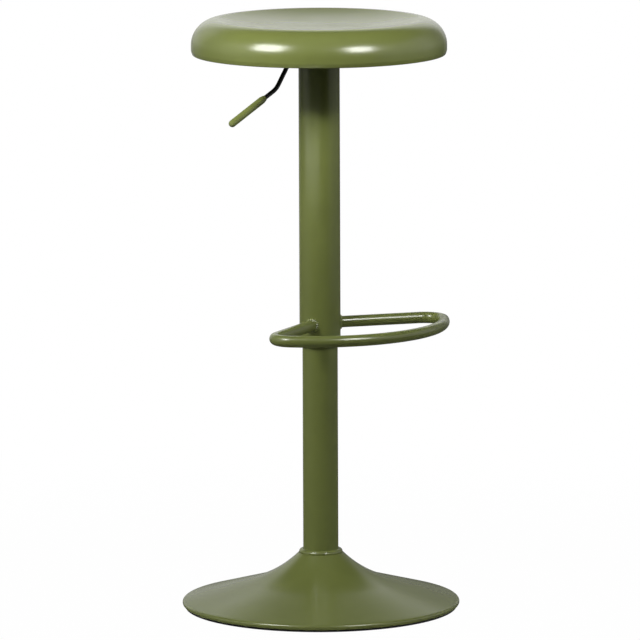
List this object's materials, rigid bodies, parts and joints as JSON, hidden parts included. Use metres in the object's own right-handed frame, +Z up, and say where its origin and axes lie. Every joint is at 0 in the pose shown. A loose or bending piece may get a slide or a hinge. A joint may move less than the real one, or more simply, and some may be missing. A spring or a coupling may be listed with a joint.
{
  "type": "bar stool",
  "caption": "Height-adjustable swivel bar stool: dished round metal seat, sliding sleeve on a column, bent-tube footrest, release lever and trumpet base.",
  "frame": {"origin": "on the floor at the column's axis, at the centre of the base", "axes": "+Z up the column; -Y is the side that the picture shows, so the footrest points to +X and -Y"},
  "size_m": [0.41, 0.41, 0.874],
  "materials": {
    "green_enamel": "semi-gloss",
    "green_grip": "semi-gloss",
    "black_enamel": "semi-gloss",
    "grey_primer": "matt",
    "zinc_steel": "zinc plated",
    "hard_steel": "ground and polished",
    "black_rubber": "matt",
    "black_nylon": "moulded"
  },
  "bodies": {
    "base": {"floor_ring": "black_rubber", "ballast_plate": "grey_primer", "base_shell": "green_enamel", "base_collar": "green_enamel", "column_flange": "grey_primer", "column_weld": "grey_primer", "base_screws": "zinc_steel", "column_tube": "green_enamel", "column_plug": "zinc_steel", "guide_bush": "black_nylon", "bearing_race_lower": "hard_steel"},
    "ball_cage": {"bearing_cage": "hard_steel", "bearing_balls": "hard_steel"},
    "spindle": {"bearing_race_upper": "hard_steel", "piston_rod": "hard_steel", "rod_clip": "zinc_steel", "bump_stop": "black_rubber", "piston": "zinc_steel", "piston_seal": "black_rubber", "piston_nut": "zinc_steel"},
    "seat_column": {"gas_cylinder": "black_enamel", "cylinder_gland": "zinc_steel", "rod_seal": "black_rubber", "valve_body": "zinc_steel", "seat_shell": "green_enamel", "seat_backing_plate": "green_enamel", "seat_studs": "zinc_steel", "seat_washers": "zinc_steel", "seat_nuts": "zinc_steel", "lift_plate": "black_enamel", "taper_socket": "black_enamel", "cover_sleeve": "green_enamel", "sleeve_top_ring": "black_enamel", "sleeve_screws": "zinc_steel", "sleeve_guide_ring": "black_nylon", "footrest_ring": "green_enamel", "footrest_welds": "green_enamel", "lever_bracket": "black_enamel", "lever_pin": "zinc_steel"},
    "release_lever": {"lever_rod": "black_enamel", "lever_grip": "green_grip"},
    "valve_button": {"valve_button": "hard_steel"}
  },
  "joints": [
    {"name": "seat_swivel", "type": "hinge", "parent": "base", "child": "spindle", "pos_m": [0, 0, 0], "axis": [0, 0, 1], "continuous": true},
    {"name": "cage_roll", "type": "hinge", "parent": "base", "child": "ball_cage", "pos_m": [0, 0, 0], "axis": [0, 0, 1], "continuous": true},
    {"name": "seat_height", "type": "slide", "parent": "spindle", "child": "seat_column", "axis": [0, 0, 1], "range_m": [-0.21, 0]},
    {"name": "lever_lift", "type": "hinge", "parent": "seat_column", "child": "release_lever", "pos_m": [-0.01828, -0.01705, 0.8485], "axis": [-0.682, 0.7314, 0], "range_deg": [0, 7], "stiffness_Nm_per_rad": 2, "springref_deg": -5.73},
    {"name": "valve_press", "type": "slide", "parent": "seat_column", "child": "valve_button", "axis": [0, 0, -1], "range_m": [0, 0.0031]}
  ],
  "couplings": [
    {"joint": "cage_roll", "follows": "seat_swivel", "ratio": 0.5},
    {"joint": "valve_press", "follows": "lever_lift", "m_per_rad": 0.025}
  ]
}
